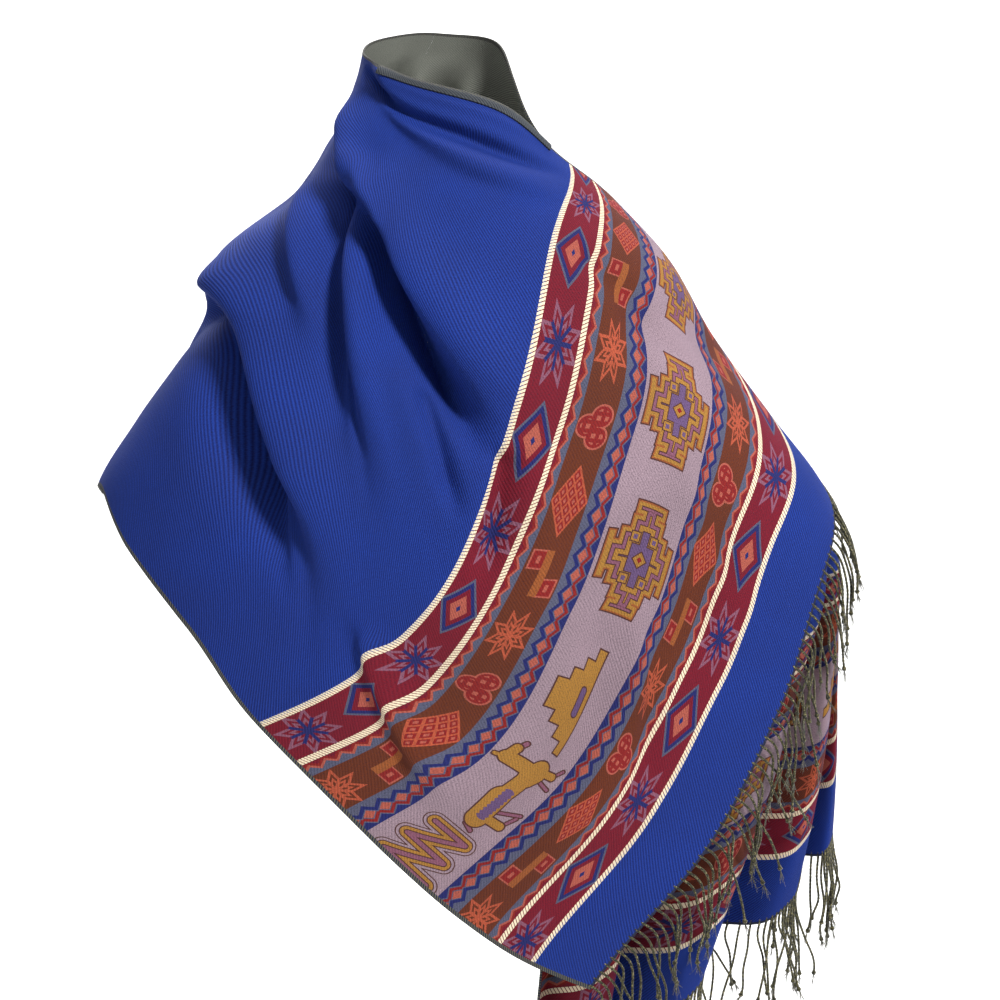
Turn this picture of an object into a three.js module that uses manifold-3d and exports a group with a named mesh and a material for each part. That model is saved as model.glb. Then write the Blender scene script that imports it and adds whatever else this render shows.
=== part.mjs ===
// A long fringed shawl scarf, worn once round the neck and over both shoulders.
//
// The flat cloth is a rectangle. A point of it is named by "width", measured from the low edge to the neck
// edge, and "run", measured along the cloth from the front hem to the hem of the end that hangs underneath.
// Sections give where the cloth lies on a general wearer's outline, folds move it out or in from there.
// Millimetres, +Z up, the viewer stands at -Y and the origin is at the base of the neck.

import * as THREE from 'three';
import { mergeVertices } from 'three/addons/utils/BufferGeometryUtils.js';
import Module from 'manifold-3d';

const CLOTH_WIDTH = 700;
const CLOTH_RUN = 1800;
const WALL = 1.6;
const SEAM_GAP = 0.5;
const FRONT_LIFT = 13;
const LIFT_FADES_FROM = 420;
const LIFT_FADES_OVER = 230;
const STATION_STEP = 140;

// Where the front drape, the shoulder wrap and the back panel end along the run.
const WRAP_FROM = 640;
const BACK_FROM = 750;
const UNDER_FROM = 1190;

const HEM_STRIP = 8;
const HEM_STRIP_PROUD = 0.4;
const HEM_GAP = 0.9;
const STRANDS_PER_HEM = 70;
const STRAND_WIDTH = 2.2;
const STRAND_LENGTH = 58;
const STRAND_LENGTH_SPREAD = 9;
const STRAND_SWING = 0.5;
const STRAND_CLEAR = 3;
// A strand's way from the hem, as shares of its length: on along the cloth, then down.
const STRAND_WAY = [
  { past: 0.12, drop: 0.02, clear: 0, swung: 0 },
  { past: 0.26, drop: 0.3, clear: STRAND_CLEAR, swung: 0.4 },
  { past: 0.3, drop: 0.72, clear: STRAND_CLEAR, swung: 1 },
];
const TURNED_EDGE_WIDTH = 12;
const TURNED_EDGE_FROM = 372;
const TURNED_EDGE_TO = 562;
const TURNED_EDGE_RISE = 0.3;
const TURNED_EDGE_THICK = 1.2;

// Level rings of the outline that the cloth lies on: how far it reaches to each side at a height.
const RINGS = [
  { height: -900, left: 280, right: 335, front: 128, back: 125 },
  { height: -700, left: 290, right: 345, front: 135, back: 130 },
  { height: -500, left: 300, right: 350, front: 142, back: 136 },
  { height: -350, left: 300, right: 340, front: 143, back: 134 },
  { height: -305, left: 291, right: 320, front: 142, back: 132 },
  { height: -250, left: 257, right: 278, front: 138, back: 127 },
  { height: -180, left: 209, right: 226, front: 126, back: 118 },
  { height: -110, left: 186, right: 184, front: 110, back: 104 },
  { height: -50, left: 112, right: 128, front: 94, back: 90 },
  { height: 0, left: 82, right: 84, front: 76, back: 80 },
  { height: 40, left: 66, right: 68, front: 64, back: 70 },
  { height: 85, left: 58, right: 60, front: 60, back: 66 },
  { height: 110, left: 56, right: 56, front: 58, back: 64 },
];
const RING_POWER = 2.35;

// Each section crosses the cloth at one run. Its stations are 140 mm of cloth apart, from the low edge to
// the neck edge, each with the turn round the wearer (0 front, 90 the viewer's right) and the height.
const SECTIONS = [
  { run: 0, turn: [43, 60, 70, 78, 98, 116], height: [-714, -611, -490, -366, -272, -200] },
  { run: 102, turn: [19, 44, 57, 66, 84, 105], height: [-673, -568, -444, -318, -208, -136] },
  { run: 200, turn: [-10, 29, 46, 57, 75, 93], height: [-608, -525, -402, -268, -150, -82] },
  { run: 339, turn: [-45, -18, 6, 25, 43, 65], height: [-492, -441, -368, -238, -98, -34] },
  { run: 450, turn: [-58, -39, -22, -14, -1, 36], height: [-412, -327, -262, -167, -59, 14] },
  { run: 520, turn: [-69, -55, -39, -31, -23, -14], height: [-353, -278, -215, -127, -38, 34] },
  { run: 590, turn: [-80, -73, -63, -57, -56, -52], height: [-306, -227, -156, -86, -13, 52] },
  { run: 665, turn: [-98, -94, -93, -97, -112, -134], height: [-326, -238, -158, -82, 5, 78] },
  { run: 765, turn: [-116, -116, -120, -130, -152, -186], height: [-368, -275, -185, -98, 0, 84] },
  { run: 870, turn: [-133, -140, -149, -165, -192, -243], height: [-420, -325, -230, -130, -30, 66] },
  { run: 1040, turn: [-165, -178, -193, -214, -246, -292], height: [-505, -410, -305, -195, -95, -90] },
  { run: 1190, turn: [-203, -213, -226, -245, -266, -304], height: [-560, -475, -385, -303, -245, -245] },
  { run: 1330, turn: [-238, -247, -261, -275, -290, -313], height: [-482, -408, -345, -325, -335, -372] },
  { run: 1460, turn: [-259, -267, -275, -284, -299, -320], height: [-412, -378, -388, -430, -465, -508] },
  { run: 1640, turn: [-271, -276, -282, -292, -306, -325], height: [-458, -494, -535, -580, -632, -686] },
  { run: 1800, turn: [-275, -281, -289, -299, -311, -328], height: [-613, -640, -680, -735, -795, -850] },
];

// Each fold runs between two points of the cloth. Its crest stands out and leans over the valley beside it.
const FOLDS = [
  {
    name: 'neck roll', from: [690, 592], to: [612, 330], bow: -42,
    crest: 8, crestWidth: 20, valley: 12, valleyWidth: 22, lean: 4,
  },
  {
    name: 'long crease', from: [640, 612], to: [235, 430], bow: -8,
    crest: 10, crestWidth: 22, valley: 20, valleyWidth: 22, lean: 12,
  },
  {
    name: 'shoulder swell', from: [500, 625], to: [310, 535], bow: 0,
    crest: 5, crestWidth: 26, valley: 8, valleyWidth: 26, lean: 2,
  },
  {
    name: 'chest ridge', from: [540, 560], to: [400, 318], bow: 0,
    crest: 14, crestWidth: 30, valley: 30, valleyWidth: 32, lean: 18,
  },
  {
    name: 'shoulder ledge', from: [345, 665], to: [115, 395], bow: 0,
    crest: 16, crestWidth: 30, valley: 36, valleyWidth: 34, lean: 18,
  },
  {
    name: 'band tuck', from: [168, 372], to: [55, 220], bow: 0,
    crest: 5, crestWidth: 16, valley: 3, valleyWidth: 20, lean: 12,
  },
  {
    name: 'arm hollow', from: [522, 290], to: [590, 100], bow: 0,
    crest: 0, crestWidth: 30, valley: 8, valleyWidth: 30, lean: 0,
  },
  {
    name: 'band trough', from: [300, 188], to: [-20, 175], bow: 30,
    crest: 6, crestWidth: 28, valley: 10, valleyWidth: 24, lean: 0,
  },
  {
    name: 'arm side fold', from: [600, 668], to: [60, 735], bow: 6,
    crest: 9, crestWidth: 18, valley: 10, valleyWidth: 18, lean: 0,
  },
  {
    name: 'left back fold', from: [670, 730], to: [150, 800], bow: 10,
    crest: 16, crestWidth: 26, valley: 18, valleyWidth: 26, lean: 0,
  },
  {
    name: 'middle back fold', from: [670, 800], to: [120, 930], bow: -10,
    crest: 22, crestWidth: 30, valley: 24, valleyWidth: 30, lean: 0,
  },
  {
    name: 'right back fold', from: [660, 880], to: [80, 1060], bow: 10,
    crest: 24, crestWidth: 32, valley: 26, valleyWidth: 32, lean: 0,
  },
  {
    name: 'arm back fold', from: [600, 985], to: [90, 1210], bow: 0,
    crest: 16, crestWidth: 36, valley: 20, valleyWidth: 36, lean: 0,
  },
];
const FADE_IN = 0.15;
const FADE_OUT = 0.35;
const CREST_SET = 0.6;
const VALLEY_SET = 0.8;

// The under drape hangs in deep pleats. Each row is one inward fold of it, at its place on the width.
const PLEATS = [
  { at: 130, depth: 68, reach: 34 },
  { at: 318, depth: 78, reach: 37 },
  { at: 510, depth: 74, reach: 37 },
  { at: 660, depth: 36, reach: 28 },
];
const PLEAT_TOWARDS = new THREE.Vector3(-0.42, 0.9, 0);
const PLEATS_START = 1190;
const PLEATS_FULL = 1380;

/** Smooth step from 0 at a to 1 at b. */
function ease(x, a, b) {
  const t = Math.min(Math.max((x - a) / (b - a), 0), 1);
  return t * t * (3 - 2 * t);
}

/** Cubic through rows (at, value). A row's slope is the mean of its two sides, weighted by their steps. */
function throughRows(x, at, value) {
  const last = at.length - 1;
  let i = 0;
  while (i < last - 1 && x > at[i + 1]) {
    i += 1;
  }
  const rise = (k) => (value[k + 1] - value[k]) / (at[k + 1] - at[k]);
  const slope = (k) => {
    if (k === 0) {
      return rise(0);
    }
    if (k === last) {
      return rise(last - 1);
    }
    const before = at[k] - at[k - 1];
    const after = at[k + 1] - at[k];
    return (rise(k - 1) * after + rise(k) * before) / (before + after);
  };
  const step = at[i + 1] - at[i];
  const t = (x - at[i]) / step;
  const t2 = t * t;
  const t3 = t2 * t;
  return (2 * t3 - 3 * t2 + 1) * value[i] + (t3 - 2 * t2 + t) * step * slope(i)
    + (3 * t2 - 2 * t3) * value[i + 1] + (t3 - t2) * step * slope(i + 1);
}

const ringHeights = RINGS.map((ring) => ring.height);
const ringReach = (side, height) => throughRows(height, ringHeights, RINGS.map((ring) => ring[side]));

/** The point of the outline at a turn and a height, moved out from it. */
function onOutline(turn, height, out) {
  const angle = THREE.MathUtils.degToRad(turn);
  const x = Math.sin(angle);
  const y = -Math.cos(angle);
  const level = THREE.MathUtils.clamp(height, ringHeights[0], ringHeights[ringHeights.length - 1]);
  const across = Math.abs(x) / ringReach(x > 0 ? 'right' : 'left', level);
  const along = Math.abs(y) / ringReach(y < 0 ? 'front' : 'back', level);
  const radius = (across ** RING_POWER + along ** RING_POWER) ** (-1 / RING_POWER) + out;
  return new THREE.Vector3(radius * x, radius * y, height);
}

const sectionRuns = SECTIONS.map((section) => section.run);
const stationWidths = SECTIONS[0].turn.map((_, k) => k * STATION_STEP);

/** The turn and height of a cloth point, from the sections along the run and then across their stations. */
function place(width, run) {
  const atStation = (what, k) => throughRows(run, sectionRuns, SECTIONS.map((section) => section[what][k]));
  const acrossStations = (what) => stationWidths.map((_, k) => atStation(what, k));
  return {
    turn: throughRows(width, stationWidths, acrossStations('turn')),
    height: throughRows(width, stationWidths, acrossStations('height')),
  };
}

/** How far all folds move a cloth point out, and how far their crests lean along the cloth. */
function foldShift(width, run) {
  let out = 0;
  const lean = new THREE.Vector2();
  for (const fold of FOLDS) {
    const along = new THREE.Vector2(fold.to[0] - fold.from[0], fold.to[1] - fold.from[1]);
    const length = along.length();
    along.divideScalar(length);
    const across = new THREE.Vector2(-along.y, along.x);
    const offset = new THREE.Vector2(width - fold.from[0], run - fold.from[1]);
    const t = offset.dot(along) / length;
    const strength = ease(t, 0, FADE_IN) * (1 - ease(t, 1 - FADE_OUT, 1));
    if (strength > 0) {
      const side = offset.dot(across) - fold.bow * 4 * t * (1 - t);
      const crest = Math.exp(-((side / fold.crestWidth - CREST_SET) ** 2));
      const valley = Math.exp(-((side / fold.valleyWidth + VALLEY_SET) ** 2));
      out += strength * (fold.crest * crest - fold.valley * valley);
      lean.addScaledVector(across, -strength * fold.lean * crest);
    }
  }
  return { out, lean };
}

/** How deep the pleats draw a cloth point in. */
function pleatDepth(width, run) {
  const depths = PLEATS.map((pleat) => pleat.depth * Math.exp(-(((width - pleat.at) / pleat.reach) ** 2)));
  return ease(run, PLEATS_START, PLEATS_FULL) * depths.reduce((sum, depth) => sum + depth, 0);
}

/** A cloth point as worn. */
function worn(width, run) {
  const shift = foldShift(width, run);
  const spot = place(width + shift.lean.x, run + shift.lean.y);
  const lift = FRONT_LIFT * (1 - ease(run, LIFT_FADES_FROM, LIFT_FADES_FROM + LIFT_FADES_OVER));
  const point = onOutline(spot.turn, spot.height, lift + shift.out);
  return point.addScaledVector(PLEAT_TOWARDS, pleatDepth(width, run));
}

// Where two pieces meet along the run.
const SEAMS = [HEM_STRIP, WRAP_FROM, BACK_FROM, UNDER_FROM, CLOTH_RUN - HEM_STRIP];
const SEAM_REACH = 2;
const FACING_REACH = 6;

/** The cloth's outward direction at a cloth point. Both sides of a seam use the seam's own direction. */
function facing(width, run) {
  const seam = SEAMS.find((at) => Math.abs(run - at) < SEAM_REACH) ?? run;
  const acrossWidth = worn(width + FACING_REACH, seam).sub(worn(width - FACING_REACH, seam));
  const alongRun = worn(width, seam + FACING_REACH).sub(worn(width, seam - FACING_REACH));
  return acrossWidth.cross(alongRun).normalize();
}

/** Even steps from a to b, both ends included. */
function steps(a, b, count) {
  return Array.from({ length: count + 1 }, (_, i) => a + ((b - a) * i) / count);
}

/** A closed wall over a grid of cloth points: its face is moved out by top and its inner side by bottom. */
function wall(widths, runs, top, bottom) {
  const positions = [];
  for (const out of [top, bottom]) {
    for (const run of runs) {
      for (const width of widths) {
        const point = worn(width, run).addScaledVector(facing(width, run), out);
        positions.push(point.x, point.y, point.z);
      }
    }
  }
  const across = widths.length;
  const layer = across * runs.length;
  const index = [];
  const quad = (a, b, c, d) => index.push(a, b, c, a, c, d);
  const at = (side, j, i) => side * layer + j * across + i;
  for (let j = 0; j < runs.length - 1; j += 1) {
    for (let i = 0; i < across - 1; i += 1) {
      quad(at(0, j, i), at(0, j, i + 1), at(0, j + 1, i + 1), at(0, j + 1, i));
      quad(at(1, j, i), at(1, j + 1, i), at(1, j + 1, i + 1), at(1, j, i + 1));
    }
  }
  for (let i = 0; i < across - 1; i += 1) {
    const end = runs.length - 1;
    quad(at(0, 0, i), at(1, 0, i), at(1, 0, i + 1), at(0, 0, i + 1));
    quad(at(1, end, i + 1), at(1, end, i), at(0, end, i), at(0, end, i + 1));
  }
  for (let j = 0; j < runs.length - 1; j += 1) {
    const end = across - 1;
    quad(at(0, j + 1, 0), at(1, j + 1, 0), at(1, j, 0), at(0, j, 0));
    quad(at(0, j, end), at(1, j, end), at(1, j + 1, end), at(0, j + 1, end));
  }
  const geometry = new THREE.BufferGeometry();
  geometry.setAttribute('position', new THREE.Float32BufferAttribute(positions, 3));
  geometry.setIndex(index);
  return geometry;
}

const wasm = await Module();
wasm.setup();

/** A closed geometry as a solid that can be joined. */
function solidOf(geometry) {
  const bare = geometry.clone();
  bare.deleteAttribute('normal');
  bare.deleteAttribute('uv');
  const merged = mergeVertices(bare, 1e-4);
  return new wasm.Manifold(new wasm.Mesh({
    numProp: 3,
    vertProperties: new Float32Array(merged.attributes.position.array),
    triVerts: new Uint32Array(merged.index.array),
  }));
}

/** A joined solid back as a geometry. */
function geometryOf(solid) {
  const mesh = solid.getMesh();
  const geometry = new THREE.BufferGeometry();
  geometry.setAttribute('position', new THREE.BufferAttribute(new Float32Array(mesh.vertProperties), 3));
  geometry.setIndex(new THREE.BufferAttribute(new Uint32Array(mesh.triVerts), 1));
  return geometry;
}

/** An even-looking but uneven value from 0 to 1 for the strand's number. */
function uneven(number, salt) {
  const wave = Math.sin(number * 12.9898 + salt * 78.233) * 43758.5453;
  return wave - Math.floor(wave);
}

/**
 * One three-sided strand: it leaves the hem along the cloth and then hangs down, close to the outline.
 * onward is 1 where the run grows past the hem and -1 where it falls.
 */
function strand(root, width, hemRun, onward, number) {
  const length = STRAND_LENGTH + (uneven(number, 1) * 2 - 1) * STRAND_LENGTH_SPREAD;
  const swing = (uneven(number, 2) * 2 - 1) * STRAND_SWING;
  const { out } = foldShift(width, hemRun);
  const lift = onward < 0 ? FRONT_LIFT : 0;
  const pleated = pleatDepth(width, hemRun);
  const onWay = ({ past, drop, clear, swung }) => {
    const spot = place(width, hemRun + onward * past * length);
    const point = onOutline(spot.turn + swung * swing, spot.height - drop * length, lift + out + clear);
    return point.addScaledVector(PLEAT_TOWARDS, pleated);
  };
  const path = new THREE.CatmullRomCurve3([root, ...STRAND_WAY.map(onWay)]);
  const third = THREE.MathUtils.degToRad(120);
  const middle = new THREE.Vector2();
  const corner = (side) => new THREE.Vector2(STRAND_WIDTH / 2, 0).rotateAround(middle, side * third);
  const section = new THREE.Shape([0, 1, 2].map(corner));
  return new THREE.ExtrudeGeometry(section, { steps: 2, extrudePath: path, bevelEnabled: false });
}

/** Where a strand starts: halfway through the strip, on the flat length of it that holds this width. */
function strandRoot(widths, width, hemRun, onward) {
  const k = widths.findLastIndex((at) => at <= width);
  const share = (width - widths[k]) / (widths[k + 1] - widths[k]);
  const halfway = hemRun - onward * HEM_STRIP / 2;
  const inside = (at) => worn(at, halfway).addScaledVector(facing(at, hemRun), -WALL / 2);
  return inside(widths[k]).lerp(inside(widths[k + 1]), share);
}

/** A hem's strip with its strands fused to it. The strip has the flat lengths of the cloth that it edges. */
function fringe(widths, hemRun, onward) {
  const edges = [hemRun, hemRun - onward * HEM_STRIP].sort((a, b) => a - b);
  let solid = solidOf(wall(widths, edges, HEM_STRIP_PROUD, -WALL - HEM_STRIP_PROUD));
  for (let k = 0; k < STRANDS_PER_HEM; k += 1) {
    const width = (CLOTH_WIDTH * (k + 0.5)) / STRANDS_PER_HEM;
    const root = strandRoot(widths, width, hemRun, onward);
    solid = solid.add(solidOf(strand(root, width, hemRun, onward, k + hemRun)));
  }
  return geometryOf(solid);
}

const twill = { metalness: 0, side: THREE.FrontSide };
const blueTwill = new THREE.MeshStandardMaterial({ ...twill, color: 0x1f3fae, roughness: 0.86 });
const bandedTwill = new THREE.MeshStandardMaterial({ ...twill, color: 0x6a3550, roughness: 0.86 });
const oliveTwill = new THREE.MeshStandardMaterial({ ...twill, color: 0x4a4c46, roughness: 0.9 });
const oliveYarn = new THREE.MeshStandardMaterial({ ...twill, color: 0x55553f, roughness: 0.92 });

const scarf = new THREE.Group();

/** Adds one piece of the scarf under its name. */
function add(name, geometry, material) {
  const mesh = new THREE.Mesh(geometry, material);
  mesh.name = name;
  scarf.add(mesh);
}

// How many flats each stretch of the cloth is made of, across its width and along its run.
const WIDTH_FLATS = 28;
const PLEATED_WIDTH_FLATS = 56;
const RUN_FLATS = { hemToNeckline: 17, neckline: 10, necklineToWrap: 4, wrap: 8, back: 24, under: 15 };

const necklineEdge = CLOTH_WIDTH - TURNED_EDGE_WIDTH;
const clothWidths = [...steps(0, necklineEdge, WIDTH_FLATS), CLOTH_WIDTH];
const pleatWidths = steps(0, CLOTH_WIDTH, PLEATED_WIDTH_FLATS);
const hemRuns = steps(HEM_STRIP + HEM_GAP, TURNED_EDGE_FROM, RUN_FLATS.hemToNeckline);
const neckRuns = steps(TURNED_EDGE_FROM, TURNED_EDGE_TO, RUN_FLATS.neckline);
const wrapEdgeRuns = steps(TURNED_EDGE_TO, WRAP_FROM - SEAM_GAP, RUN_FLATS.necklineToWrap);
const frontRuns = [...hemRuns, ...neckRuns.slice(1), ...wrapEdgeRuns.slice(1)];
const wrapRuns = steps(WRAP_FROM, BACK_FROM - SEAM_GAP, RUN_FLATS.wrap);
const backRuns = steps(BACK_FROM, UNDER_FROM - SEAM_GAP, RUN_FLATS.back);
const underRuns = steps(UNDER_FROM, CLOTH_RUN - HEM_STRIP - HEM_GAP, RUN_FLATS.under);
const turnedTop = TURNED_EDGE_RISE + TURNED_EDGE_THICK;
const turnedEdge = wall([necklineEdge, CLOTH_WIDTH], neckRuns, turnedTop, TURNED_EDGE_RISE);

add('front_drape', wall(clothWidths, frontRuns, 0, -WALL), bandedTwill);
add('shoulder_wrap', wall(clothWidths, wrapRuns, 0, -WALL), blueTwill);
add('back_panel', wall(clothWidths, backRuns, 0, -WALL), blueTwill);
add('under_drape', wall(pleatWidths, underRuns, 0, -WALL), bandedTwill);
add('turned_neck_edge', turnedEdge, oliveTwill);
add('front_fringe', fringe(clothWidths, 0, -1), oliveYarn);
add('under_fringe', fringe(pleatWidths, CLOTH_RUN, 1), oliveYarn);

export default scarf;
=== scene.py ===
import bpy
import numpy as np
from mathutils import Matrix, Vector


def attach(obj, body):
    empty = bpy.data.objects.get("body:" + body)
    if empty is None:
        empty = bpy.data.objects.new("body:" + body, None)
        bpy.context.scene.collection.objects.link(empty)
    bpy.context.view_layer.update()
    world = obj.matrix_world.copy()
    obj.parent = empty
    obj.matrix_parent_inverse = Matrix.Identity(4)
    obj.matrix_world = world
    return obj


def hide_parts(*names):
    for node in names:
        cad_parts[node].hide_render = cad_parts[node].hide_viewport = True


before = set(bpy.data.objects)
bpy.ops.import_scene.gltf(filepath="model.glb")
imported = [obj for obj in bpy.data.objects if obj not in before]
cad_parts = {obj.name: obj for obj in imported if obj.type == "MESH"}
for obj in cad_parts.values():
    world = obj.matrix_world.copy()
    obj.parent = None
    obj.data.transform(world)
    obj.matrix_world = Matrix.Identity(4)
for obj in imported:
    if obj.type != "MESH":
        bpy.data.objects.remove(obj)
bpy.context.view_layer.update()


# Camera: it stands in front of the scarf at chest height and looks down a little, as the photograph does.
# A long lens, just under two metres away, keeps the folds in proportion.

CAMERA_PLACE = Vector((0.055, -1.8896, -0.1234))
CAMERA_LOOKS_AT = Vector((0.055, 0.0, -0.322))
CAMERA_LENS = 78.62
CAMERA_SENSOR = 36


def put(name, data):
    """A new object of that name with that data, in the scene."""
    thing = bpy.data.objects.new(name, data)
    bpy.context.scene.collection.objects.link(thing)
    return thing


camera_data = bpy.data.cameras.new("photo_camera")
camera_data.lens = CAMERA_LENS
camera_data.sensor_width = CAMERA_SENSOR
camera = put("photo_camera", camera_data)
camera.location = CAMERA_PLACE
camera.rotation_euler = (CAMERA_LOOKS_AT - CAMERA_PLACE).to_track_quat("-Z", "Y").to_euler()
bpy.context.scene.camera = camera


# Floor: a plain pale studio sweep, as far below the shoulders as a standing wearer's floor.
# It runs flat towards the back and then curves up.

FLOOR_DROP = 1.45
SWEEP_HALF_WIDTH = 6.0
SWEEP_FRONT = -5.0
SWEEP_TURN_FROM = 2.4
SWEEP_RADIUS = 1.2
SWEEP_TOP = 4.0
SWEEP_TURN_STEPS = 24
PAPER_COLOUR = (0.97, 0.97, 0.97, 1)
PAPER_ROUGHNESS = 0.9


def smooth_mesh(name, points, faces):
    """A mesh of those points and faces, shaded smooth."""
    mesh = bpy.data.meshes.new(name)
    mesh.from_pydata(points.tolist(), [], faces)
    mesh.polygons.foreach_set("use_smooth", np.ones(len(faces), bool))
    return mesh


def studio_sweep():
    """A flat floor, a quarter circle and an upright wall, as one profile carried from side to side."""
    bend = np.linspace(0, np.pi / 2, SWEEP_TURN_STEPS)
    turned = SWEEP_TURN_FROM + SWEEP_RADIUS * np.sin(bend)
    y = np.concatenate([[SWEEP_FRONT], turned, [SWEEP_TURN_FROM + SWEEP_RADIUS]])
    z = np.concatenate([[0], SWEEP_RADIUS * (1 - np.cos(bend)), [SWEEP_TOP]]) - FLOOR_DROP
    sides = [np.stack([np.full_like(y, x), y, z], axis=-1) for x in (-SWEEP_HALF_WIDTH, SWEEP_HALF_WIDTH)]
    row = np.arange(len(y) - 1)
    faces = np.stack([row, row + len(y), row + len(y) + 1, row + 1], axis=-1)
    return smooth_mesh("studio_sweep", np.concatenate(sides), faces.tolist())


def new_material(name):
    """A new material: gives it, its node tree and its surface shader."""
    material = bpy.data.materials.new(name)
    material.use_nodes = True
    return material, material.node_tree, material.node_tree.nodes["Principled BSDF"]


pale_paper, _, paper = new_material("pale_paper")
paper.inputs["Base Color"].default_value = PAPER_COLOUR
paper.inputs["Roughness"].default_value = PAPER_ROUGHNESS
floor = put("studio_floor", studio_sweep())
floor.data.materials.append(pale_paper)


# Front drape: the end of the scarf that crosses the chest and hangs over the viewer's right arm.
# It is a reversible twill, woven in one length with a patterned band near the hem, 700 mm wide.
# A cloth point is named by its width from the low edge and its run from the front hem, in millimetres.

CLOTH_WIDTH = 700
CLOTH_RUN = 1800
WALL = 1.6
WRAP_FROM = 640
FRONT_LIFT = 13
LIFT_FADES = (420, 650)

# Level rings of the outline that the cloth lies on: its reach to the left, right, front and back.
RING_HEIGHT = np.array([-900, -700, -500, -350, -305, -250, -180, -110, -50, 0, 40, 85, 110.0])
RING_LEFT = np.array([280, 290, 300, 300, 291, 257, 209, 186, 112, 82, 66, 58, 56.0])
RING_RIGHT = np.array([335, 345, 350, 340, 320, 278, 226, 184, 128, 84, 68, 60, 56.0])
RING_FRONT = np.array([128, 135, 142, 143, 142, 138, 126, 110, 94, 76, 64, 60, 58.0])
RING_BACK = np.array([125, 130, 136, 134, 132, 127, 118, 104, 90, 80, 70, 66, 64.0])
RING_POWER = 2.35

# Sections across the cloth, each at one run: the turn round the wearer and the height of six stations.
STATIONS = np.arange(0, 701, 140.0)
SECTION_RUN = np.array(
    [0, 102, 200, 339, 450, 520, 590, 665, 765, 870, 1040, 1190, 1330, 1460, 1640, 1800.0]
)
SECTION_TURN = np.array([
    [43, 60, 70, 78, 98, 116],
    [19, 44, 57, 66, 84, 105],
    [-10, 29, 46, 57, 75, 93],
    [-45, -18, 6, 25, 43, 65],
    [-58, -39, -22, -14, -1, 36],
    [-69, -55, -39, -31, -23, -14],
    [-80, -73, -63, -57, -56, -52],
    [-98, -94, -93, -97, -112, -134],
    [-116, -116, -120, -130, -152, -186],
    [-133, -140, -149, -165, -192, -243],
    [-165, -178, -193, -214, -246, -292],
    [-203, -213, -226, -245, -266, -304],
    [-238, -247, -261, -275, -290, -313],
    [-259, -267, -275, -284, -299, -320],
    [-271, -276, -282, -292, -306, -325],
    [-275, -281, -289, -299, -311, -328.0],
])
SECTION_HEIGHT = np.array([
    [-714, -611, -490, -366, -272, -200],
    [-673, -568, -444, -318, -208, -136],
    [-608, -525, -402, -268, -150, -82],
    [-492, -441, -368, -238, -98, -34],
    [-412, -327, -262, -167, -59, 14],
    [-353, -278, -215, -127, -38, 34],
    [-306, -227, -156, -86, -13, 52],
    [-326, -238, -158, -82, 5, 78],
    [-368, -275, -185, -98, 0, 84],
    [-420, -325, -230, -130, -30, 66],
    [-505, -410, -305, -195, -95, -90],
    [-560, -475, -385, -303, -245, -245],
    [-482, -408, -345, -325, -335, -372],
    [-412, -378, -388, -430, -465, -508],
    [-458, -494, -535, -580, -632, -686],
    [-613, -640, -680, -735, -795, -850.0],
])

# Folds: from and to as cloth points, bow of the line, crest and valley as (depth, reach), and how far the
# crest leans over the valley beside it.
FOLDS = [
    ((690, 592), (612, 330), -42, (8, 20), (12, 22), 4),
    ((640, 612), (235, 430), -8, (10, 22), (20, 22), 12),
    ((500, 625), (310, 535), 0, (5, 26), (8, 26), 2),
    ((540, 560), (400, 318), 0, (14, 30), (30, 32), 18),
    ((345, 665), (115, 395), 0, (16, 30), (36, 34), 18),
    ((168, 372), (55, 220), 0, (5, 16), (3, 20), 12),
    ((522, 290), (590, 100), 0, (0, 30), (8, 30), 0),
    ((300, 188), (-20, 175), 30, (6, 28), (10, 24), 0),
    ((600, 668), (60, 735), 6, (9, 18), (10, 18), 0),
    ((670, 730), (150, 800), 10, (16, 26), (18, 26), 0),
    ((670, 800), (120, 930), -10, (22, 30), (24, 30), 0),
    ((660, 880), (80, 1060), 10, (24, 32), (26, 32), 0),
    ((600, 985), (90, 1210), 0, (16, 36), (20, 36), 0),
]
FADE_IN = 0.15
FADE_OUT = 0.35
CREST_SET = 0.6
VALLEY_SET = 0.8

# Creases: narrow ridges (a rise above 0) and troughs (below 0) that soften or sharpen the folds' edges,
# each with its from and to, bow, rise and reach.
CREASES = [
    ((682, 600), (664, 336), -34, -16, 11),
    ((700, 596), (694, 360), -18, 3, 8),
    ((676, 606), (590, 330), -44, 8, 20),
    ((648, 638), (226, 410), -6, -14, 9),
    ((660, 612), (250, 394), -4, 6, 11),
    ((490, 622), (320, 520), -4, 5, 12),
    ((470, 628), (300, 536), -4, -4, 10),
    ((570, 566), (392, 318), -4, 7, 11),
    ((510, 500), (370, 340), -4, -18, 13),
    ((392, 414), (318, 352), 0, -11, 10),
    ((396, 340), (290, 318), 4, -11, 10),
    ((318, 646), (92, 402), -28, -20, 13),
    ((290, 606), (100, 390), -24, 6, 9),
    ((330, 650), (250, 586), 0, 5, 6),
    ((318, 662), (240, 600), 4, -4, 6),
    ((210, 520), (60, 350), 8, -3, 14),
    ((420, 330), (250, 250), 6, 3, 16),
    ((560, 330), (470, 150), 4, -4, 12),
    ((300, 176), (150, 60), 6, -3, 14),
    ((440, 230), (330, 30), -6, 3, 16),
    ((560, 690), (120, 700), 6, 4, 10),
    ((640, 770), (200, 840), 8, -5, 11),
    ((650, 850), (180, 960), -8, 5, 12),
    ((640, 930), (140, 1080), 8, -6, 12),
    ((590, 1010), (260, 1130), 6, 4, 12),
    ((250, 1180), (230, 1560), 6, 4, 11),
    ((440, 1240), (410, 1700), -6, -4, 11),
    ((600, 1260), (590, 1720), 5, 3, 10),
]

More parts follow.
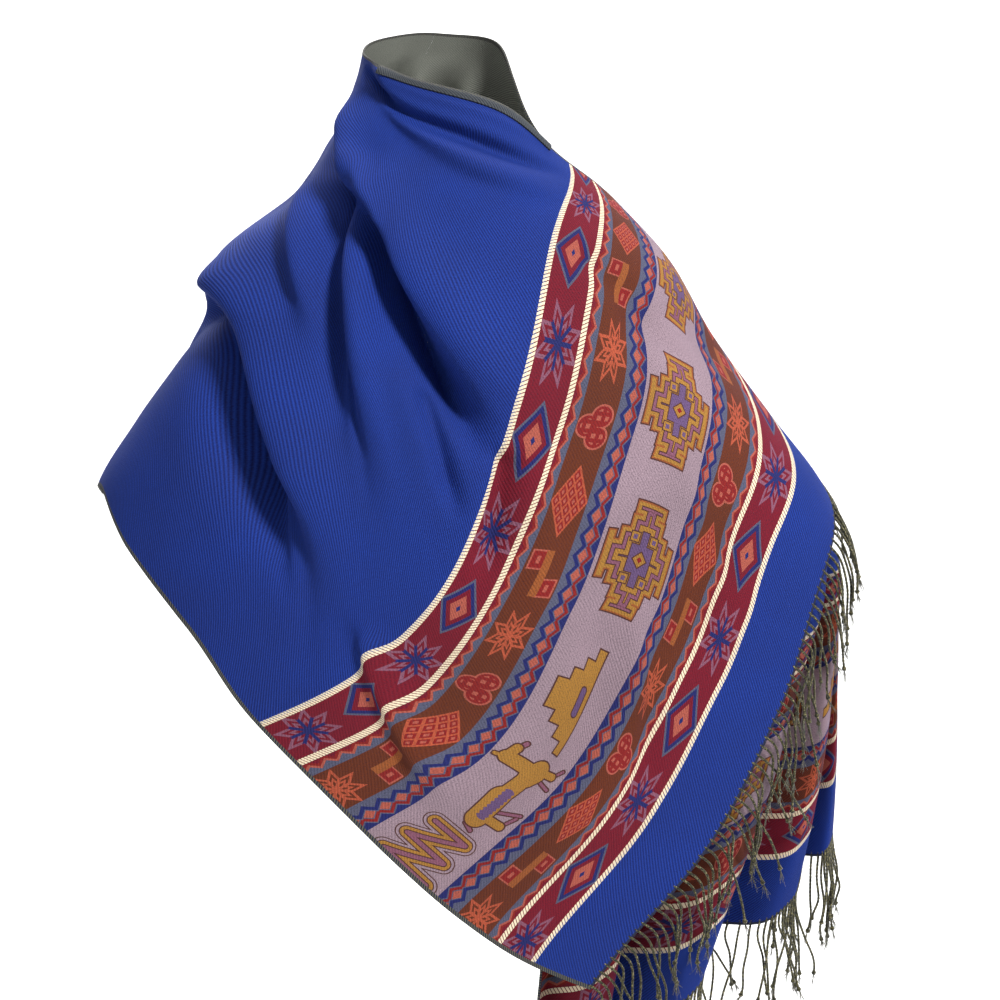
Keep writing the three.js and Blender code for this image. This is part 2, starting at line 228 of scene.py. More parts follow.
# Pleats of the end that hangs underneath: place on the width, depth and reach, all drawn the same way.
PLEATS = [(130, 68, 34), (318, 78, 37), (510, 74, 37), (660, 36, 28)]
PLEATS_START = 1190
PLEATS_FULL = 1380
PLEAT_TOWARDS = np.array([-0.42, 0.9, 0.0])


def ease(x, low, high):
    """Smooth step: 0 up to low, 1 from high on, and a cubic with level ends between them."""
    t = np.clip((x - low) / (high - low), 0, 1)
    return t * t * (3 - 2 * t)


def through_rows(x, at, values):
    """Cubic through (at, values) along the last axis: a row's slope is its two sides' weighted mean."""
    last = len(at) - 1
    step = np.diff(at)
    rise = np.diff(values) / step
    inner = (rise[..., :-1] * step[1:] + rise[..., 1:] * step[:-1]) / (step[:-1] + step[1:])
    slope = np.concatenate([rise[..., :1], inner, rise[..., -1:]], axis=-1)
    i = np.clip(np.searchsorted(at, x, side="right") - 1, 0, last - 1)
    t = (x - at[i]) / step[i]

    def row(rows, k):
        """The rows' values at knot k of each point."""
        wide = np.broadcast_to(rows, x.shape + (last + 1,))
        return np.take_along_axis(wide, k[..., None], -1)[..., 0]

    return (
        (2 * t**3 - 3 * t**2 + 1) * row(values, i)
        + (t**3 - 2 * t**2 + t) * step[i] * row(slope, i)
        + (3 * t**2 - 2 * t**3) * row(values, i + 1)
        + (t**3 - t**2) * step[i] * row(slope, i + 1)
    )


def on_outline(turn, height, out):
    """Point at a turn and height: the ring there is a rounded oblong, |x/a|^p + |y/b|^p = 1, moved out."""
    angle = np.radians(turn)
    x, y = np.sin(angle), -np.cos(angle)
    level = np.clip(height, RING_HEIGHT[0], RING_HEIGHT[-1])
    left, right, front, back = [
        through_rows(level, RING_HEIGHT, reach) for reach in (RING_LEFT, RING_RIGHT, RING_FRONT, RING_BACK)
    ]
    side, depth = np.where(x > 0, right, left), np.where(y < 0, front, back)
    oblong = (np.abs(x) / side) ** RING_POWER + (np.abs(y) / depth) ** RING_POWER
    radius = oblong ** (-1 / RING_POWER) + out
    return np.stack([radius * x, radius * y, height + 0 * radius], axis=-1)


def place(width, run):
    """Turn and height of a cloth point: cubics along the run at each station, then one across them."""
    stations = run[..., None] + 0 * STATIONS
    turns = through_rows(stations, SECTION_RUN, SECTION_TURN.T)
    heights = through_rows(stations, SECTION_RUN, SECTION_HEIGHT.T)
    return through_rows(width, STATIONS, turns), through_rows(width, STATIONS, heights)


def beside_line(width, run, start, end, bow):
    """Strength, faded at the ends, distance beside a line bowed by 4t(1 - t), and the line's direction."""
    along = np.subtract(end, start).astype(float)
    length = np.hypot(*along)
    along /= length
    from_width, from_run = width - start[0], run - start[1]
    t = (from_width * along[0] + from_run * along[1]) / length
    side = from_run * along[0] - from_width * along[1] - bow * 4 * t * (1 - t)
    return ease(t, 0, FADE_IN) * (1 - ease(t, 1 - FADE_OUT, 1)), side, along


def fold_shift(width, run):
    """Sum over the folds and creases of bell curves across their lines: how far out, and each way's lean."""
    out, lean_width, lean_run = 0 * width, 0 * width, 0 * width
    for start, end, bow, (crest_rise, crest_reach), (valley_depth, valley_reach), lean in FOLDS:
        strength, side, along = beside_line(width, run, start, end, bow)
        crest = strength * np.exp(-((side / crest_reach - CREST_SET) ** 2))
        valley = strength * np.exp(-((side / valley_reach + VALLEY_SET) ** 2))
        out = out + crest_rise * crest - valley_depth * valley
        lean_width = lean_width + lean * crest * along[1]
        lean_run = lean_run - lean * crest * along[0]
    for start, end, bow, rise, reach in CREASES:
        strength, side, _ = beside_line(width, run, start, end, bow)
        out = out + rise * strength * np.exp(-((side / reach) ** 2))
    return out, lean_width, lean_run


def pleat_depth(width, run):
    """Bell curves across the width, deepening from PLEATS_START to PLEATS_FULL along the run."""
    depths = [depth * np.exp(-(((width - at) / reach) ** 2)) for at, depth, reach in PLEATS]
    return ease(run, PLEATS_START, PLEATS_FULL) * sum(depths)


def worn(width, run):
    """Cloth point as worn: its place on the outline, moved out by lift and folds, and in by the pleats."""
    out, lean_width, lean_run = fold_shift(width, run)
    turn, height = place(width + lean_width, run + lean_run)
    lift = FRONT_LIFT * (1 - ease(run, *LIFT_FADES))
    return on_outline(turn, height, lift + out) + pleat_depth(width, run)[..., None] * PLEAT_TOWARDS


def facing(width, run, reach=5.0):
    """Outward direction: the cross product of the cloth's slopes across its width and along its run."""
    across = worn(width + reach, run) - worn(width - reach, run)
    along = worn(width, run + reach) - worn(width, run - reach)
    normal = np.cross(across, along)
    return normal / np.linalg.norm(normal, axis=-1, keepdims=True)


# The flat map has the face and the inner side side by side, and the four rims as thin strips above them.
MAP_MARGIN = 0.01
MAP_PART = (0.48, 0.93)
STRIP_LOW = 0.955
STRIP_HIGH = 0.961
STRIP_PITCH = 0.01
STRIP_LENGTH = 0.98


def cloth_wall(name, widths, runs, materials, proud=0.0, thick=WALL):
    """Closed wall over a grid of cloth points: a face, an inner side thick below it, and four rims between.

    The cloth map holds width and run in metres.
    """
    width, run = np.meshgrid(widths, runs)
    direction = facing(width, run)
    face = worn(width, run) + (proud + 0 * width)[..., None] * direction
    inner = face - thick * direction
    rows, columns = width.shape
    a = np.arange(rows * columns).reshape(rows, columns)
    b = a + rows * columns
    face_quads = np.stack([a[:-1, :-1], a[:-1, 1:], a[1:, 1:], a[1:, :-1]], axis=-1).reshape(-1, 4)
    rims = [
        np.stack([a[0, :-1], b[0, :-1], b[0, 1:], a[0, 1:]], axis=-1),
        np.stack([a[-1, 1:], b[-1, 1:], b[-1, :-1], a[-1, :-1]], axis=-1),
        np.stack([a[1:, 0], b[1:, 0], b[:-1, 0], a[:-1, 0]], axis=-1),
        np.stack([a[:-1, -1], b[:-1, -1], b[1:, -1], a[1:, -1]], axis=-1),
    ]
    quads = np.concatenate([face_quads, face_quads[:, ::-1] + rows * columns, *rims])
    part = np.repeat([0, 1, 2], [len(face_quads), len(face_quads), sum(len(rim) for rim in rims)])
    points = np.concatenate([face.reshape(-1, 3), inner.reshape(-1, 3)]) / 1000
    mesh = smooth_mesh(name, points, quads.tolist())
    mesh.polygons.foreach_set("material_index", part.astype(np.int32))

    corner = quads.ravel() % (rows * columns)
    cloth_map = mesh.uv_layers.new(name="cloth")
    where = np.stack([width.ravel()[corner], run.ravel()[corner]], axis=-1)
    cloth_map.data.foreach_set("uv", (where / 1000).ravel().astype(np.float32))
    first, last = np.array([widths[0], runs[0]]), np.array([widths[-1], runs[-1]])
    flat = MAP_MARGIN + MAP_PART * (where - first) / (last - first)
    flat[:, 0] += 0.5 * np.repeat(part, 4)
    start = 8 * len(face_quads)
    for k, rim in enumerate(rims):
        s = np.arange(len(rim)) / len(rim)
        e = s + 1 / len(rim)
        low, high = 0 * s + STRIP_LOW + STRIP_PITCH * k, 0 * s + STRIP_HIGH + STRIP_PITCH * k
        strip = np.stack([s, low, s, high, e, high, e, low], axis=-1).reshape(-1, 2)
        flat[start:start + 4 * len(rim)] = strip * [STRIP_LENGTH, 1] + [MAP_MARGIN, 0]
        start += 4 * len(rim)
    flat_map = mesh.uv_layers.new(name="OFBake")
    flat_map.data.foreach_set("uv", flat.ravel().astype(np.float32))

    # The edges where two of face, inner side and rims meet are sharp.
    edge_of = np.empty(len(mesh.loops), np.int32)
    mesh.loops.foreach_get("edge_index", edge_of)
    least, most = np.full(len(mesh.edges), part.max()), np.full(len(mesh.edges), part.min())
    np.minimum.at(least, edge_of, np.repeat(part, 4))
    np.maximum.at(most, edge_of, np.repeat(part, 4))
    sharp = mesh.attributes.new("sharp_edge", "BOOLEAN", "EDGE")
    sharp.data.foreach_set("value", least != most)

    for material in materials:
        mesh.materials.append(material)
    cloth = put(name, mesh)
    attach(cloth, "root")
    return cloth


def feed(tree, socket, value):
    """Links the socket to another one, or sets it to a plain value."""
    if isinstance(value, bpy.types.NodeSocket):
        tree.links.new(value, socket)
    else:
        socket.default_value = value


def calc(tree, kind, *values, clamp=False):
    """One Math node: kind is its operation, values are sockets or numbers, clamp keeps it from 0 to 1."""
    node = tree.nodes.new("ShaderNodeMath")
    node.operation = kind
    node.use_clamp = clamp
    for socket, value in zip(node.inputs, values):
        feed(tree, socket, value)
    return node.outputs[0]


def plus(tree, first, second):
    """Sum of two values."""
    return calc(tree, "ADD", first, second)


def minus(tree, first, second):
    """The first value less the second."""
    return calc(tree, "SUBTRACT", first, second)


def times(tree, first, second):
    """Product of two values."""
    return calc(tree, "MULTIPLY", first, second)


def noise(tree, spot, scale, detail):
    """Value of a smooth noise at a point."""
    node = tree.nodes.new("ShaderNodeTexNoise")
    node.inputs["Scale"].default_value = scale
    node.inputs["Detail"].default_value = detail
    tree.links.new(spot, node.inputs["Vector"])
    return node.outputs["Fac"]


def spot_at(tree, x, y):
    """The point (x, y, 0) as one vector."""
    spot = tree.nodes.new("ShaderNodeCombineXYZ")
    tree.links.new(x, spot.inputs[0])
    tree.links.new(y, spot.inputs[1])
    return spot.outputs[0]


def shade(red, green, blue):
    """A colour given as it looks on a screen, from 0 to 255, as the linear colour that a shader takes."""
    share = np.array([red, green, blue]) / 255
    linear = np.where(share < 0.04045, share / 12.92, ((share + 0.055) / 1.055) ** 2.4)
    return (*linear.tolist(), 1.0)


def over(tree, under, top, mask):
    """Top colour laid over the under colour where the mask is 1."""
    node = tree.nodes.new("ShaderNodeMix")
    node.data_type = "RGBA"
    for at, value in ((0, mask), (6, under), (7, top)):
        feed(tree, node.inputs[at], value)
    return node.outputs[2]


def steps_of(tree, value, low, high, stops):
    """Colour and mask in steps: value from low to high picks the last stop that it has passed."""
    ramp = tree.nodes.new("ShaderNodeValToRGB")
    ramp.color_ramp.interpolation = "CONSTANT"
    part = calc(tree, "DIVIDE", minus(tree, value, low), high - low)
    tree.links.new(part, ramp.inputs[0])
    while len(ramp.color_ramp.elements) < len(stops):
        ramp.color_ramp.elements.new(1.0)
    for element, (at, colour) in zip(ramp.color_ramp.elements, stops):
        element.position = (at - low) / (high - low)
        element.color = colour
    return ramp.outputs["Color"], ramp.outputs["Alpha"]


def node_group(name, inputs, outputs):
    """An empty shader node group: its tree, its named inputs' sockets and its output node."""
    tree = bpy.data.node_groups.new(name, "ShaderNodeTree")
    for way, labels in (("INPUT", inputs), ("OUTPUT", outputs)):
        for label in labels:
            kind = "NodeSocketColor" if label == "Color" else "NodeSocketFloat"
            tree.interface.new_socket(label, in_out=way, socket_type=kind)
    given = tree.nodes.new("NodeGroupInput").outputs
    return tree, [given[label] for label in inputs], tree.nodes.new("NodeGroupOutput")


def link_by_name(tree, node, links):
    """Links sockets to the node's inputs of those names, an underscore standing for a space."""
    for name, socket in links.items():
        tree.links.new(socket, node.inputs[name.replace("_", " ")])


# The twill's ribs cross the cloth at 45 degrees, 2.2 mm apart, each laid of short slanting threads. A slow
# noise sways the ribs and fades the cloth in patches, and a fine one flecks it.
RIB_PITCH = 2.2
THREAD_PITCH = 1.15
THREAD_LEAN = 0.35
DIAGONAL = 0.7071
SWERVE = 3.0
SLOW_SCALE = 0.012
FLECK_SCALE = 0.9
FLECK_REACH = 1.1


def twill_group():
    """Ribs: a triangle wave across the rib line. Threads: a finer one across them. Noise sways both."""
    tree, (width, run), made = node_group(
        "Twill Weave", ["Width", "Run"], ["Rib", "Grain", "Height", "Fade"]
    )
    spot = spot_at(tree, width, run)
    sway = minus(tree, noise(tree, spot, SLOW_SCALE, 0), 0.5)
    across = times(tree, minus(tree, width, run), DIAGONAL)
    across = plus(tree, across, times(tree, sway, SWERVE))
    rib = calc(tree, "DIVIDE", calc(tree, "PINGPONG", across, RIB_PITCH / 2), RIB_PITCH / 2)
    thread = plus(tree, width, times(tree, run, THREAD_LEAN))
    thread = calc(tree, "DIVIDE", calc(tree, "PINGPONG", thread, THREAD_PITCH / 2), THREAD_PITCH / 2)
    uneven = minus(tree, noise(tree, spot, FLECK_SCALE, 3), 0.5)
    uneven = times(tree, uneven, FLECK_REACH)
    height = plus(tree, rib, times(tree, thread, 0.25))
    height = plus(tree, height, times(tree, uneven, 0.5))
    strand = calc(tree, "MULTIPLY_ADD", thread, 0.3, -0.15)
    grain = plus(tree, strand, times(tree, uneven, 1.3))
    fade = noise(tree, spot, SLOW_SCALE, 3)
    link_by_name(tree, made, {"Rib": plus(tree, rib, grain), "Grain": grain, "Height": height, "Fade": fade})
    return tree


# The band near each hem, in millimetres from the hem: stripes mirrored about its middle.
BAND_MIDDLE = 200.5
NAVY = shade(28, 34, 96)
SLATE = shade(82, 84, 106)
SALMON = shade(168, 84, 68)
RED = shade(130, 26, 22)
MAROON = shade(112, 12, 32)
BROWN = shade(96, 42, 16)
ORANGE = shade(172, 78, 50)
TAN = shade(146, 80, 36)
LILAC = shade(150, 128, 138)
MAUVE = shade(130, 80, 100)
GOLD = shade(160, 114, 46)
DARK_BROWN = shade(76, 42, 34)
PURPLE = shade(98, 74, 112)
CREAM = shade(232, 216, 186)
BLUE = shade(30, 56, 136)
CLEAR = (0, 0, 0, 0)
LILAC_TO = 36.5
ZIGZAG_TO = 56.5
BROWN_TO = 88.5
WAVY_TO = 98.5
BAND_TO = 138.5
STRIPES = [
    (0, LILAC), (LILAC_TO, SLATE), (ZIGZAG_TO, BROWN), (BROWN_TO, SLATE), (WAVY_TO, MAROON), (BAND_TO, BLUE),
]


def repeat(tree, width, pitch, first):
    """Distance from the nearest motif's middle along the row, and that motif's number, for even spacing."""
    count = calc(tree, "DIVIDE", minus(tree, width, first), pitch)
    number = calc(tree, "ROUND", count)
    return times(tree, minus(tree, count, number), pitch), number


def is_kind(tree, number, kinds, kind):
    """Mask: 1 where the motif's number, counted round its kinds, is that kind."""
    left = calc(tree, "FLOORED_MODULO", plus(tree, number, 0.5), kinds)
    return calc(tree, "COMPARE", left, kind + 0.5, 0.3)


def box_distance(tree, x, y, middle, half):
    """Distance outside an upright box, the larger of its two ways: negative inside it."""
    dx = minus(tree, calc(tree, "ABSOLUTE", minus(tree, x, middle[0])), half[0])
    dy = minus(tree, calc(tree, "ABSOLUTE", minus(tree, y, middle[1])), half[1])
    return calc(tree, "MAXIMUM", dx, dy)


def nearest(tree, distances):
    """The least of several distances."""
    least = distances[0]
    for distance in distances[1:]:
        least = calc(tree, "MINIMUM", least, distance)
    return least


def star(tree, x, y, reach, stretch, fill, rim, spine):
    """Eight petals: each a rhomb between an axis and a diagonal, in the folded octant of the plane."""
    a = times(tree, calc(tree, "ABSOLUTE", x), stretch)
    b = calc(tree, "ABSOLUTE", y)
    most, least = calc(tree, "MAXIMUM", a, b), calc(tree, "MINIMUM", a, b)
    along = calc(tree, "DIVIDE", least, DIAGONAL * reach)
    across = calc(tree, "DIVIDE", minus(tree, most, least), reach)
    outer = calc(tree, "MAXIMUM", along, across)
    inner = calc(tree, "MINIMUM", along, across)
    stops = [(0, fill), (0.42, rim), (0.6, fill), (0.8, rim), (1.04, CLEAR)]
    colour, mask = steps_of(tree, outer, 0, 2, stops)
    split = calc(tree, "LESS_THAN", inner, 0.15)
    return over(tree, colour, spine, split), mask


def rings(tree, x, y, half, stops):
    """Diamonds inside each other: |x| / half width + |y| / half height picks the ring."""
    a = calc(tree, "DIVIDE", calc(tree, "ABSOLUTE", x), half[0])
    b = calc(tree, "DIVIDE", calc(tree, "ABSOLUTE", y), half[1])
    return steps_of(tree, plus(tree, a, b), 0, 2, stops)


def lattice(tree, x, y, half, gap):
    """A rhomb crossed by slanting lines, with a small square in each cell between them."""
    a, b = calc(tree, "DIVIDE", x, half[0]), calc(tree, "DIVIDE", y, half[1])
    p, q = plus(tree, a, b), minus(tree, a, b)
    outer = calc(tree, "MAXIMUM", calc(tree, "ABSOLUTE", p), calc(tree, "ABSOLUTE", q))
    line_p = calc(tree, "PINGPONG", p, gap / 2)
    line_q = calc(tree, "PINGPONG", q, gap / 2)
    cell = calc(tree, "MINIMUM", line_p, line_q)
    colour, _ = steps_of(tree, cell, 0, 1, [(0, ORANGE), (0.055, RED), (0.16, SALMON)])
    inside = calc(tree, "LESS_THAN", outer, 1.06)
    return colour, inside


def vector_calc(tree, kind, first, second):
    """One Vector Math node on a socket and a second one or a plain (x, y). Gives the node."""
    node = tree.nodes.new("ShaderNodeVectorMath")
    node.operation = kind
    tree.links.new(first, node.inputs[0])
    feed(tree, node.inputs[1], second if isinstance(second, bpy.types.NodeSocket) else (*second, 0))
    return node


def bar(tree, spot, start, end, radius):
    """Distance outside a bar with round ends: the way to its nearest middle point, less its radius."""
    way = np.subtract(end, start).astype(float)
    squared = float(way @ way)
    from_start = vector_calc(tree, "SUBTRACT", spot, start)
    dot = vector_calc(tree, "DOT_PRODUCT", from_start.outputs[0], (way / squared).tolist())
    share = calc(tree, "ADD", dot.outputs["Value"], 0.0, clamp=True)
    on_way = tree.nodes.new("ShaderNodeVectorMath")
    on_way.operation = "SCALE"
    on_way.inputs[0].default_value = (*way.tolist(), 0)
    tree.links.new(share, on_way.inputs["Scale"])
    left = vector_calc(tree, "DISTANCE", from_start.outputs[0], on_way.outputs[0])
    return minus(tree, left.outputs["Value"], radius)


def trefoil(tree, x, y):
    """Three round lobes, one above and two below, outlined, with small squares inside."""
    spot = spot_at(tree, calc(tree, "ABSOLUTE", x), y)
    top = vector_calc(tree, "DISTANCE", spot, (0, 6.5)).outputs["Value"]
    low = vector_calc(tree, "DISTANCE", spot, (8.5, -4)).outputs["Value"]
    shape = minus(tree, calc(tree, "MINIMUM", top, low), 8.5)
    cell = calc(tree, "MAXIMUM", calc(tree, "PINGPONG", x, 3.6),
                calc(tree, "PINGPONG", plus(tree, y, 1.4), 3.6))
    square = times(tree, calc(tree, "LESS_THAN", cell, 1.9), calc(tree, "LESS_THAN", shape, -2.4))
    colour, mask = steps_of(tree, shape, -10, 10, [(-10, RED), (-0.2, SALMON), (1.4, CLEAR)])
    return over(tree, colour, SALMON, square), mask


def hook(tree, x, y):
    """Two outlined squares with a dot, set at opposite corners, joined by a level bar."""
    turned = times(tree, x, calc(tree, "SIGN", y))
    high = calc(tree, "ABSOLUTE", y)
    square = box_distance(tree, turned, high, (12, 7.6), (8.4, 6.6))
    level = box_distance(tree, x, y, (0, 0), (20, 3.2))
    stops = [(-8, SALMON), (-5.2, RED), (-1.4, SALMON), (0, CLEAR)]
    colour, mask = steps_of(tree, square, -8, 8, stops)
    on_bar = calc(tree, "LESS_THAN", level, 0)
    return over(tree, colour, TAN, on_bar), calc(tree, "MAXIMUM", mask, on_bar)


def llama(tree, x, y):
    """A little animal of bars with round ends: body, neck, head and thighs, then shins, mouth and tail."""
    limbs = [
        ((-34, -3), (-8, 1), 10.5), ((-8, 0), (20, -3), 8.5), ((20, -4), (27, -8), 11),
        ((24, -2), (25, 24), 6.5), ((25, 25), (36, 22), 4.2), ((24, 27), (23, 33), 2.0),
        ((-30, -10), (-28, -26), 4.2), ((29, -14), (31, -26), 3.6),
    ]
    shins = [
        ((-28, -26), (-14, -31), 2.0), ((-20, -12), (-10, -32), 2.0), ((31, -26), (40, -32), 1.8),
        ((22, -14), (20, -31), 2.0), ((36, 22), (43, 18), 2.6), ((-44, 0), (-47, -10), 2.2),
    ]
    spot = spot_at(tree, x, y)
    shape = nearest(tree, [bar(tree, spot, *limb) for limb in limbs])
    thin = nearest(tree, [bar(tree, spot, *shin) for shin in shins])
    colour, mask = steps_of(tree, shape, -16, 16, [(-16, GOLD), (-0.4, DARK_BROWN), (0.9, CLEAR)])
    low, low_mask = steps_of(tree, thin, -16, 16, [(-16, MAUVE), (-0.8, DARK_BROWN), (0.4, CLEAR)])
    saw = minus(tree, calc(tree, "PINGPONG", x, 2.0), 1.0)
    patch = plus(tree, bar(tree, spot, (-30, -4), (-2, -2), 5.0), saw)
    colour = over(tree, colour, PURPLE, calc(tree, "LESS_THAN", patch, 0))
    colour = over(tree, low, colour, mask)
    return colour, calc(tree, "MAXIMUM", mask, low_mask)


def stairs(tree, x, y):
    """Half a stepped pyramid, flat towards the hem, with an oval on its base."""
    boxes = [((0, 5), (14, 19)), ((0, 0), (25, 14)), ((0, -5), (36, 9)), ((0, -10), (47, 4))]
    shape = nearest(tree, [box_distance(tree, x, y, middle, half) for middle, half in boxes])
    colour, mask = steps_of(tree, shape, -16, 16, [(-16, GOLD), (-0.4, DARK_BROWN), (0.9, CLEAR)])
    oval = bar(tree, spot_at(tree, x, y), (-10, -5), (10, -5), 4.6)
    oval_stops = [(-8, PURPLE), (-1.6, DARK_BROWN), (-0.4, CLEAR)]
    return over(tree, colour, *steps_of(tree, oval, -8, 8, oval_stops)), mask


def fret(tree, x, y):
    """A bent line of five strokes, drawn as outlines that follow each other outwards."""
    corners = [(-26, -24), (-26, 20), (-2, -20), (-2, 20), (22, -20), (22, 16)]
    spot = spot_at(tree, x, y)
    shape = nearest(tree, [bar(tree, spot, start, end, 0) for start, end in zip(corners, corners[1:])])
    stops = [
        (0, MAUVE), (1.8, DARK_BROWN), (2.8, GOLD), (5.4, DARK_BROWN), (6.3, LILAC), (8.2, DARK_BROWN),
        (9.1, CLEAR),
    ]
    return steps_of(tree, shape, 0, 40, stops)


def medallion(tree, x, y):
    """A stepped lozenge of boxes, outlined again inwards, with four small eyes and a ringed middle."""
    a, b = calc(tree, "ABSOLUTE", x), calc(tree, "ABSOLUTE", y)
    boxes = [
        ((0, 0), (44, 9)), ((0, 0), (35, 16)), ((0, 0), (24, 23)), ((0, 0), (13, 31)), ((40, 0), (6, 15)),
        ((0, 29), (20, 3.5)),
    ]
    shape = nearest(tree, [box_distance(tree, a, b, middle, half) for middle, half in boxes])
    stops = [
        (-30, PURPLE), (-13, DARK_BROWN), (-12, GOLD), (-8.6, DARK_BROWN), (-7.8, MAUVE),
        (-5.2, DARK_BROWN), (-4.4, GOLD), (-1.6, TAN), (-0.4, DARK_BROWN), (0.9, CLEAR),
    ]
    colour, mask = steps_of(tree, shape, -30, 30, stops)
    eye = box_distance(tree, a, b, (17, 9), (3.4, 3.4))
    eye_stops = [(-4, PURPLE), (-1.6, GOLD), (0.2, DARK_BROWN), (1.2, CLEAR)]
    colour = over(tree, colour, *steps_of(tree, eye, -4, 8, eye_stops))
    middle_stops = [(0, RED), (2.5, GOLD), (6, DARK_BROWN), (7.4, CLEAR)]
    return over(tree, colour, *steps_of(tree, plus(tree, a, b), 0, 30, middle_stops)), mask


# Rows of motifs: the space from one middle to the next and the first one's place on the width. The maroon
# row on the side away from the hem is shifted.
BROWN_ROW = (59.2, 11)
MAROON_ROW = (74, 18)
MAROON_SHIFT = 18.0
LLAMA_ROW = (538, 112)
MEDALLION_MIDDLE = 454
MEDALLION_PITCH = 126
CREAM_LINES = (100.8, 138.5)
CREAM_HALF_WIDTH = 2.4
CREAM_LEAN = 0.7
CREAM_BLOCK = 3.2


def band_group():
    """The band: stripes by the distance from its middle, then zigzags, motifs and cream lines over them."""
    tree, (width, from_hem), made = node_group(
        "Patterned Band", ["Width", "From Hem"], ["Color", "Band", "Line"]
    )
    y = minus(tree, from_hem, BAND_MIDDLE)
    m = calc(tree, "ABSOLUTE", y)
    colour, _ = steps_of(tree, m, 0, 200, STRIPES)

    def between(low, high):
        """Mask: 1 where the distance from the band's middle is from low to high."""
        return calc(tree, "COMPARE", m, (low + high) / 2, (high - low) / 2)

    def by_turns(colour, number, inside, motifs):
        """The motifs over the colour, each at the numbers of its own kind."""
        for kind, (motif, mask) in enumerate(motifs):
            chosen = times(tree, mask, inside)
            chosen = times(tree, chosen, is_kind(tree, number, len(motifs), kind))
            colour = over(tree, colour, motif, chosen)
        return colour

    # Zigzag stripes beside the lilac middle.
    wave = times(tree, calc(tree, "PINGPONG", width, 8.1), 0.62)
    up = minus(tree, m, LILAC_TO)
    low_stops = [(-6, NAVY), (0.6, SLATE), (1.8, RED), (4.8, SLATE), (5.8, SALMON)]
    zigzag, _ = steps_of(tree, minus(tree, up, wave), -6, 22, low_stops)
    high_stops = [(0, CLEAR), (13.2, SLATE), (14.2, NAVY), (17.6, SLATE)]
    zigzag = over(tree, zigzag, *steps_of(tree, plus(tree, up, wave), 0, 28, high_stops))
    colour = over(tree, colour, zigzag, between(LILAC_TO, ZIGZAG_TO))

    # Wavy stripes beside the maroon.
    wave = times(tree, calc(tree, "PINGPONG", width, 8.6), 0.5)
    height = minus(tree, minus(tree, m, BROWN_TO), wave)
    wavy, _ = steps_of(tree, height, -6, 14, [(-6, SLATE), (2.0, SALMON), (4.0, RED), (6.4, MAROON)])
    colour = over(tree, colour, wavy, between(BROWN_TO, WAVY_TO))

    # Brown stripes: a star, a hook, a lattice and a trefoil by turns.
    x, number = repeat(tree, width, *BROWN_ROW)
    up = minus(tree, m, (ZIGZAG_TO + BROWN_TO) / 2)
    colour = by_turns(colour, number, between(ZIGZAG_TO + 0.5, BROWN_TO - 0.5), [
        star(tree, x, up, 8.8, 0.62, BROWN, ORANGE, ORANGE),
        hook(tree, x, up),
        lattice(tree, x, up, (27, 15), 0.5),
        trefoil(tree, x, up),
    ])

    # Maroon stripes: a mauve star and a ringed diamond by turns, between the cream lines.
    shift = times(tree, calc(tree, "GREATER_THAN", y, 0), MAROON_SHIFT)
    x, number = repeat(tree, minus(tree, width, shift), *MAROON_ROW)
    up = minus(tree, m, 120)
    diamond_stops = [(0, NAVY), (0.1, SALMON), (0.42, MAROON), (0.64, NAVY), (0.82, SLATE), (0.92, CLEAR)]
    colour = by_turns(colour, number, between(103, 138), [
        star(tree, x, up, 10.2, 0.58, MAROON, MAUVE, NAVY),
        rings(tree, x, up, (36, 18.5), diamond_stops),
    ])

    # Lilac middle: a fret, llamas, a stepped pyramid and three stepped medallions in a row.
    def beside(at):
        """Distance along the width from that place."""
        return minus(tree, width, at)

    from_middle = beside(MEDALLION_MIDDLE)
    number = calc(tree, "ROUND", calc(tree, "DIVIDE", from_middle, MEDALLION_PITCH))
    number = calc(tree, "MAXIMUM", calc(tree, "MINIMUM", number, 1), -1)
    x = minus(tree, from_middle, times(tree, number, MEDALLION_PITCH))
    row = [
        fret(tree, beside(30), y),
        llama(tree, repeat(tree, width, *LLAMA_ROW)[0], y),
        stairs(tree, beside(206), y),
        medallion(tree, x, y),
    ]
    inside = calc(tree, "LESS_THAN", m, LILAC_TO - 1)
    for motif, mask in row:
        colour = over(tree, colour, motif, times(tree, mask, inside))

    # Cream stitch lines at the maroon's edges, laid of small slanting blocks.
    near = [calc(tree, "ABSOLUTE", minus(tree, m, at)) for at in CREAM_LINES]
    on_line = calc(tree, "LESS_THAN", calc(tree, "MINIMUM", *near), CREAM_HALF_WIDTH)
    slant = plus(tree, width, times(tree, m, CREAM_LEAN))
    block = calc(tree, "GREATER_THAN", calc(tree, "PINGPONG", slant, CREAM_BLOCK / 2), CREAM_BLOCK / 8)
    line = times(tree, on_line, block)
    colour = over(tree, colour, MAROON, on_line)
    colour = over(tree, colour, CREAM, line)

    link_by_name(tree, made, {"Color": colour, "Band": calc(tree, "LESS_THAN", m, BAND_TO), "Line": line})
    return tree


# The long edges are bound by a dark overlock about 4 mm wide, with short pale stitches across it.
SELVEDGE_WIDTH = 4.0
STITCH_PITCH = 2.2
STITCH_LEAN = 0.6
STITCH_HALF_WIDTH = 0.55
OVERLOCK = shade(34, 38, 58)
PALE_STITCH = shade(92, 90, 74)


